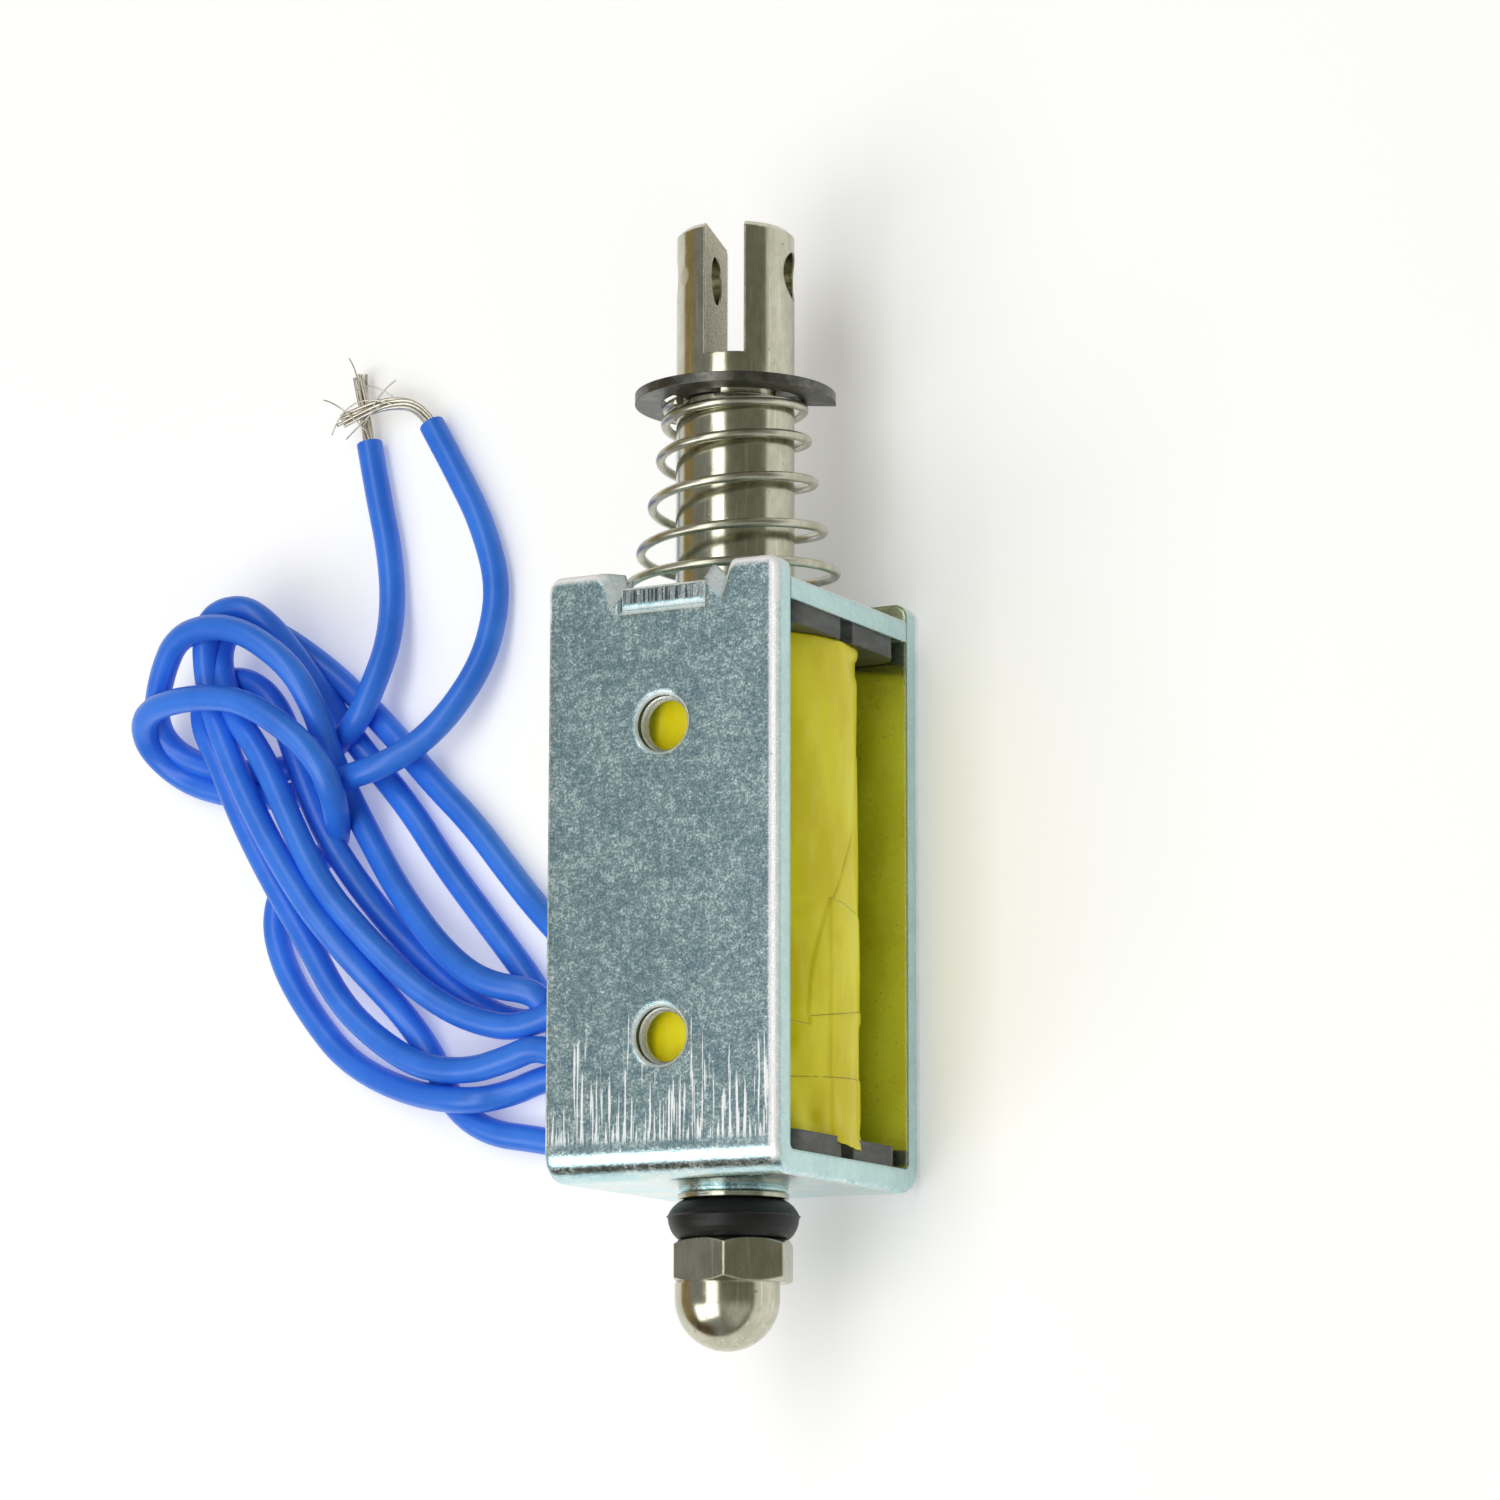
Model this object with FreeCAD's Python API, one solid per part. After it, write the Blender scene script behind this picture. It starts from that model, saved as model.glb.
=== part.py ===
import FreeCAD, Part
import math
import os

# Open-frame push-pull solenoid, lying on its back flange with its leads tied beside it.
# Millimetres. The origin is on the front flange, midway between the two threaded
# mounting holes. +Z leaves that flange, +Y runs along the plunger to its clevis end
# and X runs across the flange.

# U-shaped frame of sheet steel
frame_width = 13.0
frame_depth = 15.0
frame_height = 30.0
sheet = 1.2
bend_radius = 0.3
blanking_roll = 0.35
corner_radius = 0.7
hole_spacing = 15.3
hole_line_height = 14.5
thread_radius = 1.38
hole_rim = 0.18
notch_chamfer = 0.28

# Top plate, dropped between the flanges and staked in a notch of each
plate_thickness = 1.1
plate_drop = 0.9
plate_tab = 4.8
plate_tab_recess = 0.12
plate_fit = 0.03
plate_edge = 0.12
stake_hook = 0.15

# The two chisel dents that stake the plate, in the flange's top edge beside its tab. The
# outline is the way out from the chisel's foot and the height above the foot.
dent_places = (-2.9, 3.35)
dent_foot_above_sill = 0.05
dent_outline = [(0, 0), (0.45, 1.3), (1.0, 1.95), (1.0, 3.5), (-1.2, 3.5), (-1.2, 1.1)]
dent_slant = (-0.3, 1.2, -1.0)

# Plunger, its clevis and its groove
plunger_radius = 3.0
plunger_reach = 19.56
plunger_chamfer = 0.25
stroke = 9.0
pole_gap = 0.1
slot_width = 2.0
slot_depth = 6.85
slot_turn = -16.9
pin_hole_radius = 1.25
pin_hole_depth = 2.35
groove_depth = 0.5
groove_width = 0.6
clip_thickness = 0.5
clip_play = 0.03
clip_drop = 8.42

# Retaining ring
clip_radius = 5.1
clip_inner_radius = 3.75
clip_lug = 2.0
clip_mouth = 96.0
clip_lug_angle = 64.0
clip_turn = -78.0

# Push rod, fixed core and guide tube
rod_radius = 1.48
rod_running = 0.07
rod_in_plunger = 4.0
thread_fit = 0.02
core_reach = 6.8
core_fit = 0.02
tenon_radius = 2.3
boss_radius = 2.7
boss_height = 0.25
tube_wall = 0.24
plunger_running = 0.06
sleeve_fit = 0.02

# Bobbin, winding and tape
bobbin_flange = 1.05
bobbin_wall = 0.65
bobbin_side_gap = 0.2
bobbin_corner = 1.5
bobbin_notch_depth = 0.8
bobbin_notch_width = 1.3
coil_clearance = 0.1
coil_fit = 0.02
tape_thickness = 0.2

# Return spring, wound as a cone
spring_wire = 0.48
spring_dead_turns = 0.6
spring_turns = 5.0
spring_small_radius = 3.45
spring_large_radius = 5.9
spring_lift = 0.01
spring_steps = 16
spring_phase = -28.4
spring_wave = 0.04

# Washer, rubber ring and domed nut on the rod
stop_gap = 0.02
washer_radius = 2.75
washer_thickness = 0.25
bumper_radius = 3.25
bumper_height = 2.02
bumper_top_radius = 2.4
bumper_foot_radius = 2.6
bumper_flash_share = 0.58
bumper_top_lobe = (30.0, 80.0)
bumper_foot_lobe = (5.0, 75.0)
bumper_steps = 5
flash_height = 0.12
flash_reach = 0.07
nut_flats = 5.5
nut_edge = 0.2
nut_hex_height = 2.1
nut_dome_radius = 2.6
nut_dome_height = 3.33
nut_dome_shift = 0.3
nut_dome_shift_angle = 152.0
nut_bore_depth = 4.0
nut_turn = 40.0

# Blank label on the back flange
label_thickness = 0.1
label_length = 17.6
label_width = 12.2
label_low_end = 5.2

# Leads, and the taped pad on the coil's side that they come out of
lead_diameter = 1.42
conductor_diameter = 0.6
lead_pitch = 1.8
lead_lift = 0.04
lead_bend_share = 0.45
pad_thickness = 1.6
pad_length = 4.6
pad_height = 6.0
pad_round = 0.6
pad_from_web = 8.8
exit_standoff = 0.8
exit_below_axis = 1.1
exit_slope = 40.0
exit_run = 2.9
splice_radius = 0.45
splice_length = 2.6
splice_above_exit = 1.0

# Flat sides of the leads and of the spring's wire, which keep the area of a round section
lead_sides = 8
wire_sides = 6

# How far a cutter passes the face that it cuts
overcut = 1.0

# Two places nearer than this are taken as the same
touch = 0.001

# Places that follow from the sizes
axis_z = -frame_depth / 2
base_y = -hole_line_height
web_y = base_y + sheet
flange_top_y = base_y + frame_height
plate_top_y = flange_top_y - plate_drop
plate_low_y = plate_top_y - plate_thickness
inner_front_z = -sheet
inner_back_z = -frame_depth + sheet
tube_inner_radius = plunger_radius + plunger_running
tube_outer_radius = tube_inner_radius + tube_wall
bobbin_bore_radius = tube_outer_radius + sleeve_fit
bobbin_tube_radius = bobbin_bore_radius + bobbin_wall
core_top_y = web_y + core_reach
plunger_low_y = core_top_y + stroke + pole_gap
plunger_top_y = plate_top_y + plunger_reach
clip_top_y = plunger_top_y - clip_drop
clip_low_y = clip_top_y - clip_thickness
boss_low_y = base_y - boss_height
washer_top_y = boss_low_y - stop_gap
washer_low_y = washer_top_y - washer_thickness
bumper_low_y = washer_low_y - bumper_height
nut_hex_low_y = bumper_low_y - nut_hex_height
nut_tip_y = nut_hex_low_y - nut_dome_height
tape_radius = min(frame_width / 2 - bobbin_side_gap, frame_depth / 2 - sheet) - coil_clearance
coil_radius = tape_radius - tape_thickness
floor_z = -frame_depth - label_thickness
exit_x = -tape_radius - exit_standoff
exit_z = axis_z - exit_below_axis
pad_y = web_y + pad_from_web
exit_rows = {"lead_1": pad_y + lead_pitch / 2, "lead_2": pad_y - lead_pitch / 2}
exit_way = (-math.cos(math.radians(exit_slope)), 0, -math.sin(math.radians(exit_slope)))

# Lead routes where they are not coiled, each point as the way out from the coil, the way
# along the frame from the pad, and the height above the surface that the solenoid lies on.
rest_height = lead_diameter / 2 + lead_lift
exit_routes = {
    "lead_1": [
        (5.0, 2.9, 1.9), (7.4, 4.9, 0.9),
    ],
    "lead_2": [
        (4.4, -1.1, 1.8), (7.5, -0.8, 0.8),
    ],
}
tail_routes = {
    "lead_1": [
        (19.0, 16.4, 2.4), (18.0, 18.4, 2.3), (17.6, 20.8, 1.5), (17.6, 23.4, rest_height),
        (17.9, 26.2, rest_height), (18.7, 29.4, rest_height), (19.5, 32.3, rest_height),
    ],
    "lead_2": [
        (17.3, 14.0, 3.0), (15.4, 15.1, 2.3), (13.3, 16.9, 2.1), (11.9, 19.5, 1.3),
        (11.3, 22.5, rest_height), (11.4, 25.4, rest_height), (12.7, 28.1, rest_height),
        (14.1, 30.6, rest_height), (15.5, 32.9, rest_height),
    ],
}
bare_routes = {
    "lead_1": [
        (19.9, 34.0, rest_height), (20.1, 36.3, 0.6),
    ],
    "lead_2": [
        (16.2, 34.0, 0.9), (17.8, 34.3, 1.2), (19.5, 34.0, 1.4), (21.1, 33.6, 1.3),
    ],
}

# The hank's outline in the same way, and its height along its own length
hank_outline = [
    (33.3, 14.0), (33.3, 19.0), (29.5, 24.0), (23.5, 24.1), (7.8, 6.8), (3.8, 3.6), (0.0, 2.9),
    (0.0, -7.8), (8.0, -7.8), (13.5, -6.5), (21.0, -2.9), (26.6, 3.3), (26.9, 7.5),
]
hank_round = 1.2
hank_start = (26.5, 18.0)
hank_angle = -40.0
hank_heights = [(-9.0, 5.0), (-5.0, 6.2), (8.5, 6.2), (15.0, 4.1), (37.0, 3.1)]


def v(x, y, z):
    return FreeCAD.Vector(x, y, z)


def box(x0, x1, y0, y1, z0, z1):
    return Part.makeBox(x1 - x0, y1 - y0, z1 - z0, v(x0, y0, z0))


def beside(out, along, height):
    """A point beside the frame, from the place where the leads leave the pad."""
    return (exit_x - out, pad_y + along, floor_z + height)


def round_bar(radius, y0, y1):
    """A cylinder on the plunger's axis."""
    return Part.makeCylinder(radius, y1 - y0, v(0, y0, axis_z), v(0, 1, 0))


def turned(profile):
    """A body of revolution on the plunger's axis from (radius, y) points."""
    points = [v(r, y, axis_z) for r, y in profile]
    face = Part.Face(Part.makePolygon(points + [points[0]]))
    return face.revolve(v(0, 0, axis_z), v(0, 1, 0), 360)


def even_section(centre, forward, diameter, sides):
    """A polygon across the way forward, with the area of a round section of this diameter."""
    across = forward.cross(v(0, 1, 0)).normalize()
    up = across.cross(forward).normalize()
    turn = 2 * math.pi / sides
    reach = diameter / 2 * math.sqrt(turn / math.sin(turn))
    corners = []
    for i in range(sides):
        angle = (i + 0.5) * turn
        corners.append(centre + across * reach * math.cos(angle) + up * reach * math.sin(angle))
    return Part.makePolygon(corners + [corners[0]])


def about_axis(shape, degrees):
    """Turn a shape about the plunger's axis, from +X towards +Z."""
    turned_shape = shape.copy()
    turned_shape.rotate(v(0, 0, axis_z), v(0, 1, 0), -degrees)
    return turned_shape


def edges_where(shape, test):
    return [edge for edge in shape.Edges if test(edge)]


def spans(edge, axis, length):
    """True for a straight edge along one axis with about this length."""
    box_of_edge = edge.BoundBox
    sizes = {"x": box_of_edge.XLength, "y": box_of_edge.YLength, "z": box_of_edge.ZLength}
    others = [sizes[name] for name in sizes if name != axis]
    return abs(sizes[axis] - length) < touch and max(others) < touch


def on_outer_face(edge):
    """True for an edge in the front or the back flange's outer face."""
    box_of_edge = edge.BoundBox
    return box_of_edge.ZMin > -touch or box_of_edge.ZMax < -frame_depth + touch


def top_notch():
    """The cutter for the notch that takes the plate's tab, leaning over the tab's top edge."""
    wall = plate_tab / 2 + plate_fit
    right = [
        v(wall, plate_low_y, overcut),
        v(wall, plate_top_y, overcut),
        v(wall - stake_hook, plate_top_y + stake_hook / 2, overcut),
        v(wall - stake_hook, flange_top_y + overcut, overcut),
    ]
    left = [v(-p.x, p.y, p.z) for p in reversed(right)]
    outline = Part.Face(Part.makePolygon(right + left + [right[0]]))
    return outline.extrude(v(0, 0, -frame_depth - 2 * overcut))


def stake_dents():
    """The chisel's cuts on the front flange: deep at its outer face, none at its inner one."""
    dents = []
    foot_y = plate_low_y + dent_foot_above_sill
    slant = v(*dent_slant)
    for place in dent_places:
        side = math.copysign(1, place)
        points = [v(place + side * out, foot_y + up, 0) for out, up in dent_outline]
        outline = Part.Face(Part.makePolygon(points + [points[0]]))
        way = v(side * slant.x, slant.y, slant.z)
        outline.translate(way * -overcut)
        dents.append(outline.extrude(way * (sheet + 2 * overcut)))
    return dents


def frame():
    half = frame_width / 2
    outside = box(-half, half, base_y, flange_top_y, -frame_depth, 0)
    bends = edges_where(outside, lambda e: spans(e, "x", frame_width) and e.BoundBox.YMax < base_y + touch)
    outside = outside.makeFillet(sheet + bend_radius, bends)
    corners = edges_where(outside, lambda e: spans(e, "z", frame_depth))
    outside = outside.makeFillet(corner_radius, corners)
    rolled = edges_where(outside, lambda e: abs(abs(e.CenterOfMass.x) - half) < touch
                         and e.BoundBox.XLength < touch and e.CenterOfMass.y < plate_low_y)
    outside = outside.makeFillet(blanking_roll, rolled)
    across = frame_width + 2 * overcut
    inside = box(-across / 2, across / 2, web_y, flange_top_y + overcut, inner_back_z, inner_front_z)
    bends = edges_where(inside, lambda e: spans(e, "x", across) and e.BoundBox.YMax < web_y + touch)
    inside = inside.makeFillet(bend_radius, bends)
    shape = outside.cut(inside).cut(top_notch())
    for y in (-hole_spacing / 2, hole_spacing / 2):
        shape = shape.cut(Part.makeCylinder(thread_radius, 2 * sheet, v(0, y, -1.5 * sheet)))
        rim = Part.makeCone(thread_radius, thread_radius + 2 * hole_rim, 2 * hole_rim, v(0, y, -hole_rim))
        shape = shape.cut(rim)
    shape = shape.cut(round_bar(tenon_radius + core_fit, base_y - overcut, web_y + overcut))
    sills = edges_where(shape, lambda e: on_outer_face(e) and spans(e, "x", plate_tab + 2 * plate_fit))
    shape = shape.makeChamfer(notch_chamfer, sills)
    for dent in stake_dents():
        back_dent = dent.mirror(v(0, 0, axis_z), v(0, 0, 1))
        shape = shape.cut(dent).cut(back_dent)
    return shape


def top_plate():
    half = frame_width / 2
    body = box(-half, half, plate_low_y, plate_top_y, inner_back_z + plate_fit, inner_front_z - plate_fit)
    top_edges = edges_where(body, lambda e: e.BoundBox.YMin > plate_top_y - touch)
    body = body.makeChamfer(plate_edge, top_edges)
    tab = box(-plate_tab / 2, plate_tab / 2, plate_low_y, plate_top_y,
              -frame_depth + plate_tab_recess, -plate_tab_recess)
    tab_ends = edges_where(tab, lambda e: e.BoundBox.ZLength < touch)
    tab = tab.makeChamfer(plate_edge, tab_ends)
    hole = round_bar(tube_outer_radius + sleeve_fit, plate_low_y - overcut, plate_top_y + overcut)
    return body.fuse(tab).removeSplitter().cut(hole)


def bobbin_flange_plate(y0, y1):
    half_x = frame_width / 2 - bobbin_side_gap
    half_z = frame_depth / 2 - sheet - bobbin_side_gap
    plate = box(-half_x, half_x, y0, y1, axis_z - half_z, axis_z + half_z)
    corners = edges_where(plate, lambda e: spans(e, "y", y1 - y0))
    return plate.makeFillet(bobbin_corner, corners)


def bobbin():
    half_x = frame_width / 2 - bobbin_side_gap
    low = bobbin_flange_plate(web_y, web_y + bobbin_flange)
    high = bobbin_flange_plate(plate_low_y - bobbin_flange, plate_low_y)
    shape = low.fuse(high).fuse(round_bar(bobbin_tube_radius, web_y, plate_low_y))
    for side in (-1, 1):
        points = [
            v(side * half_x, web_y, axis_z - bobbin_notch_width / 2),
            v(side * half_x, web_y, axis_z + bobbin_notch_width / 2),
            v(side * (half_x - bobbin_notch_depth), web_y, axis_z),
        ]
        wedge = Part.Face(Part.makePolygon(points + [points[0]])).extrude(v(0, plate_low_y - web_y, 0))
        shape = shape.cut(wedge)
    return shape.cut(round_bar(bobbin_bore_radius, web_y - overcut, plate_low_y + overcut))


def winding():
    low = web_y + bobbin_flange + coil_fit
    high = plate_low_y - bobbin_flange - coil_fit
    inside = round_bar(bobbin_tube_radius + coil_fit, low - overcut, high + overcut)
    return round_bar(coil_radius, low, high).cut(inside)


def tape():
    low = web_y + bobbin_flange + coil_fit
    high = plate_low_y - bobbin_flange - coil_fit
    return round_bar(tape_radius, low, high).cut(round_bar(coil_radius, low - overcut, high + overcut))


def guide_tube():
    tube = round_bar(tube_outer_radius, web_y, plate_top_y)
    return tube.cut(round_bar(tube_inner_radius, web_y - overcut, plate_top_y + overcut))


def fixed_core():
    body_radius = tube_inner_radius - core_fit
    edge = boss_height / 2
    shape = turned([
        (rod_radius + rod_running, boss_low_y),
        (boss_radius - edge, boss_low_y),
        (boss_radius, boss_low_y + edge),
        (boss_radius, base_y),
        (tenon_radius, base_y),
        (tenon_radius, web_y),
        (body_radius, web_y),
        (body_radius, core_top_y),
        (rod_radius + rod_running, core_top_y),
    ])
    return shape


def plunger():
    bore = rod_radius + thread_fit
    groove_top_y = clip_top_y + clip_play
    groove_low_y = groove_top_y - groove_width
    floor_radius = plunger_radius - groove_depth
    edge = plunger_chamfer
    shape = turned([
        (bore, plunger_low_y),
        (plunger_radius - edge, plunger_low_y),
        (plunger_radius, plunger_low_y + edge),
        (plunger_radius, groove_low_y),
        (floor_radius, groove_low_y),
        (floor_radius, groove_top_y),
        (plunger_radius, groove_top_y),
        (plunger_radius, plunger_top_y - edge),
        (plunger_radius - edge, plunger_top_y),
        (0, plunger_top_y),
        (0, plunger_low_y + rod_in_plunger),
        (bore, plunger_low_y + rod_in_plunger),
    ])
    reach = plunger_radius + overcut
    slot = box(-slot_width / 2, slot_width / 2, plunger_top_y - slot_depth, plunger_top_y + overcut,
               axis_z - reach, axis_z + reach)
    pin_y = plunger_top_y - pin_hole_depth
    pin_hole = Part.makeCylinder(pin_hole_radius, 2 * reach, v(-reach, pin_y, axis_z), v(1, 0, 0))
    return shape.cut(about_axis(slot.fuse(pin_hole), slot_turn))


def retaining_ring():
    low = clip_low_y - overcut
    high = clip_top_y + overcut
    ring = round_bar(clip_radius, clip_low_y, clip_top_y).cut(round_bar(clip_inner_radius, low, high))
    reach = 2 * clip_radius
    half_mouth = math.radians(clip_mouth / 2)
    mouth = [
        v(0, low, axis_z),
        v(reach * math.cos(half_mouth), low, axis_z + reach * math.sin(half_mouth)),
        v(reach, low, axis_z),
        v(reach * math.cos(half_mouth), low, axis_z - reach * math.sin(half_mouth)),
    ]
    ring = ring.cut(Part.Face(Part.makePolygon(mouth + [mouth[0]])).extrude(v(0, high - low, 0)))
    middle = (clip_inner_radius + clip_radius) / 2
    for angle in (-clip_lug_angle, clip_lug_angle, 180):
        lug = box(0, middle, clip_low_y, clip_top_y, axis_z - clip_lug / 2, axis_z + clip_lug / 2)
        ring = ring.fuse(about_axis(lug, angle))
    seat = plunger_radius - groove_depth + clip_play
    ring = ring.cut(round_bar(seat, low, high)).removeSplitter()
    return about_axis(ring, clip_turn)


def spring():
    """Conical return spring: the radius grows with the square of the way down."""
    high = clip_low_y - spring_wire / 2 - spring_lift
    low = plate_top_y + spring_wire / 2 + spring_lift
    turns = spring_turns + spring_dead_turns
    flat = spring_dead_turns / turns
    points = []
    count = round(turns * spring_steps)
    for i in range(count + 1):
        s = i / count
        radius = spring_small_radius + (spring_large_radius - spring_small_radius) * s * s
        climb = max(0.0, (s - flat) / (1 - flat))
        climb -= spring_wave * math.sin(2 * math.pi * climb)
        angle = math.radians(spring_phase) + 2 * math.pi * (s * turns - spring_dead_turns)
        height = high - (high - low) * climb
        points.append(v(radius * math.cos(angle), height, axis_z + radius * math.sin(angle)))
    curve = Part.BSplineCurve()
    curve.interpolate(points)
    start = curve.tangent(curve.FirstParameter)[0]
    section = even_section(points[0], start, spring_wire, wire_sides)
    return Part.Wire(curve.toShape()).makePipeShell([section], True, True)


def push_rod():
    return round_bar(rod_radius, nut_hex_low_y + nut_hex_height - nut_bore_depth + thread_fit,
                     plunger_low_y + rod_in_plunger - thread_fit)


def washer():
    return round_bar(washer_radius, washer_low_y, washer_top_y).cut(
        round_bar(rod_radius + thread_fit, washer_low_y - overcut, washer_top_y + overcut))


def bumper():
    """A rubber ring: two rounded lobes that meet at the mould's flash line."""
    bore = rod_radius + thread_fit
    flash_y = bumper_low_y + bumper_height * bumper_flash_share
    foot = lobe(flash_y - flash_height / 2, bumper_low_y, bumper_foot_radius, bumper_foot_lobe)
    top = lobe(flash_y + flash_height / 2, washer_low_y, bumper_top_radius, bumper_top_lobe)
    flash = [(bumper_radius + flash_reach, flash_y)]
    return turned([(bore, bumper_low_y)] + foot[::-1] + flash + top + [(bore, washer_low_y)])


def lobe(flash_side_y, seat_y, seat_radius, angles):
    """The rounded side of the rubber ring, from its flash to its seat on the washer or the nut."""
    first, last = (math.radians(angle) for angle in angles)
    points = []
    for i in range(bumper_steps + 1):
        angle = first + (last - first) * i / bumper_steps
        outward = (math.cos(angle) - math.cos(last)) / (math.cos(first) - math.cos(last))
        along = (math.sin(angle) - math.sin(first)) / (math.sin(last) - math.sin(first))
        radius = seat_radius + (bumper_radius - seat_radius) * outward
        points.append((radius, flash_side_y + (seat_y - flash_side_y) * along))
    return points


def domed_nut():
    corner = nut_flats / math.sqrt(3)
    points = []
    for i in range(6):
        angle = math.radians(60 * i + 30)
        points.append(v(corner * math.cos(angle), nut_hex_low_y, axis_z + corner * math.sin(angle)))
    hexagon = Part.Face(Part.makePolygon(points + [points[0]])).extrude(v(0, nut_hex_height, 0))
    hexagon = hexagon.makeFillet(nut_edge, edges_where(hexagon, lambda e: spans(e, "y", nut_hex_height)))
    flat = nut_flats / 2
    rise = (corner - flat) * math.tan(math.radians(30))
    turned_blank = turned([
        (0, nut_hex_low_y),
        (flat, nut_hex_low_y),
        (corner, nut_hex_low_y + rise),
        (corner, bumper_low_y - rise),
        (flat, bumper_low_y),
        (0, bumper_low_y),
    ])
    hexagon = hexagon.common(turned_blank)
    straight = nut_dome_height - nut_dome_radius
    dome = round_bar(nut_dome_radius, nut_hex_low_y - straight, nut_hex_low_y)
    dome = dome.fuse(Part.makeSphere(nut_dome_radius, v(0, nut_hex_low_y - straight, axis_z)))
    dome = dome.common(round_bar(corner, nut_tip_y - overcut, nut_hex_low_y))
    shift = math.radians(nut_dome_shift_angle)
    dome.translate(v(math.cos(shift), 0, math.sin(shift)) * nut_dome_shift)
    bore = round_bar(rod_radius + thread_fit, bumper_low_y - nut_bore_depth, bumper_low_y + overcut)
    return about_axis(hexagon, nut_turn).fuse(dome).removeSplitter().cut(bore)


def label():
    low = base_y + label_low_end
    return box(-label_width / 2, label_width / 2, low, low + label_length, floor_z, -frame_depth)


def splice_pad():
    """Tape built up over the two soldered splices, with a slanted end for the leads."""
    outer_x = -tape_radius - pad_thickness
    high_z = axis_z + pad_height / 2
    low_z = axis_z - pad_height / 2
    pad = box(outer_x, -tape_radius / 2, pad_y - pad_length / 2, pad_y + pad_length / 2, low_z, high_z)
    rims = edges_where(pad, lambda e: spans(e, "z", pad_height) and e.CenterOfMass.x < outer_x + touch)
    pad = pad.makeFillet(pad_round, rims).cut(round_bar(tape_radius, base_y, flange_top_y))
    beyond = Part.makeBox(pad_height, 2 * pad_length, 2 * pad_height, v(0, -pad_length, -pad_height))
    beyond.rotate(v(0, 0, 0), v(0, 1, 0), 180 - exit_slope)
    beyond.translate(v(exit_x, pad_y, exit_z))
    pad = pad.cut(beyond)
    for splice in splices().Solids:
        pad = pad.cut(splice)
    return pad


def splices():
    """The two soldered joints between winding and leads, side by side under the pad."""
    low_z = exit_z + splice_above_exit
    joints = []
    for y in exit_rows.values():
        joints.append(Part.makeCylinder(splice_radius, splice_length, v(exit_x, y, low_z)))
    return Part.makeCompound(joints)


def tube(name, points, diameter):
    """Straight runs joined by tangent arcs; prints the tightest arc."""
    route = [v(*point) for point in points]
    edges = []
    radii = []
    here = route[0]
    for before, corner, after in zip(route, route[1:], route[2:]):
        arriving = corner - before
        leaving = after - corner
        half_turn = arriving.getAngle(leaving) / 2
        reach = lead_bend_share * min(arriving.Length, leaving.Length)
        radius = reach / math.tan(half_turn)
        first = corner - arriving.normalize() * reach
        last = corner + leaving.normalize() * reach
        inward = ((first + last) / 2 - corner).normalize()
        middle = corner + inward * (radius / math.cos(half_turn) - radius)
        edges.append(Part.LineSegment(here, first).toShape())
        edges.append(Part.Arc(first, middle, last).toShape())
        radii.append(radius)
        here = last
    edges.append(Part.LineSegment(here, route[-1]).toShape())
    path = Part.Wire(edges)
    section = even_section(route[0], (route[1] - route[0]).normalize(), diameter, lead_sides)
    solid = path.makePipeShell([section], True, False)
    expected = math.pi * diameter ** 2 / 4 * path.Length
    print(name, "length", round(path.Length, 2), "radii", [round(r, 2) for r in radii],
          "volume over section times length", round(solid.Volume / expected, 4))
    return solid


def lead_exit(name):
    start = (exit_x, exit_rows[name], exit_z)
    second = tuple(a + exit_run * b for a, b in zip(start, exit_way))
    route = [beside(*point) for point in exit_routes[name]]
    return tube(name + " exit", [start, second] + route, lead_diameter)


def lead_tail(name):
    return tube(name + " tail", [beside(*point) for point in tail_routes[name]], lead_diameter)


def bare_end(name):
    route = [beside(*point) for point in tail_routes[name][-1:] + bare_routes[name]]
    return tube(name + " bare end", route, conductor_diameter)


def hank():
    """The outer shape of the folded and tied stretch of both leads."""
    top = max(height for s, height in hank_heights)
    points = [v(*beside(out, along, 0)) for out, along in hank_outline]
    body = Part.Face(Part.makePolygon(points + [points[0]])).extrude(v(0, 0, top))
    body = body.makeFillet(hank_round, edges_where(body, lambda e: spans(e, "z", top)))
    angle = math.radians(hank_angle)
    along = v(math.cos(angle), math.sin(angle), 0)
    across = v(-math.sin(angle), math.cos(angle), 0)
    reach = body.BoundBox.DiagonalLength
    start = v(*beside(*hank_start, 0)) - across * reach
    side = [start + along * s + v(0, 0, height) for s, height in hank_heights]
    side = [start + along * hank_heights[0][0]] + side + [start + along * hank_heights[-1][0]]
    return body.common(Part.Face(Part.makePolygon(side + [side[0]])).extrude(across * 2 * reach))


parts = {
    "c_frame": frame(),
    "top_plate": top_plate(),
    "bobbin": bobbin(),
    "coil_winding": winding(),
    "coil_tape": tape(),
    "guide_tube": guide_tube(),
    "fixed_core": fixed_core(),
    "plunger": plunger(),
    "retaining_ring": retaining_ring(),
    "return_spring": spring(),
    "push_rod": push_rod(),
    "thin_washer": washer(),
    "rubber_bumper": bumper(),
    "domed_nut": domed_nut(),
    "blank_label": label(),
    "splice_pad": splice_pad(),
    "lead_splices": splices(),
    "lead_hank": hank(),
}
for lead in exit_rows:
    parts[lead + "_exit"] = lead_exit(lead)
    parts[lead + "_tail"] = lead_tail(lead)
    parts[lead + "_bare_end"] = bare_end(lead)

os.makedirs("parts", exist_ok=True)
for name, shape in parts.items():
    shape.exportStep("parts/" + name + ".step")
    print(name, "valid", shape.isValid(), "solids", len(shape.Solids), "volume", round(shape.Volume, 3))
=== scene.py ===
import math
import random

import bpy
import numpy as np
from mathutils import Matrix, Vector


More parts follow.
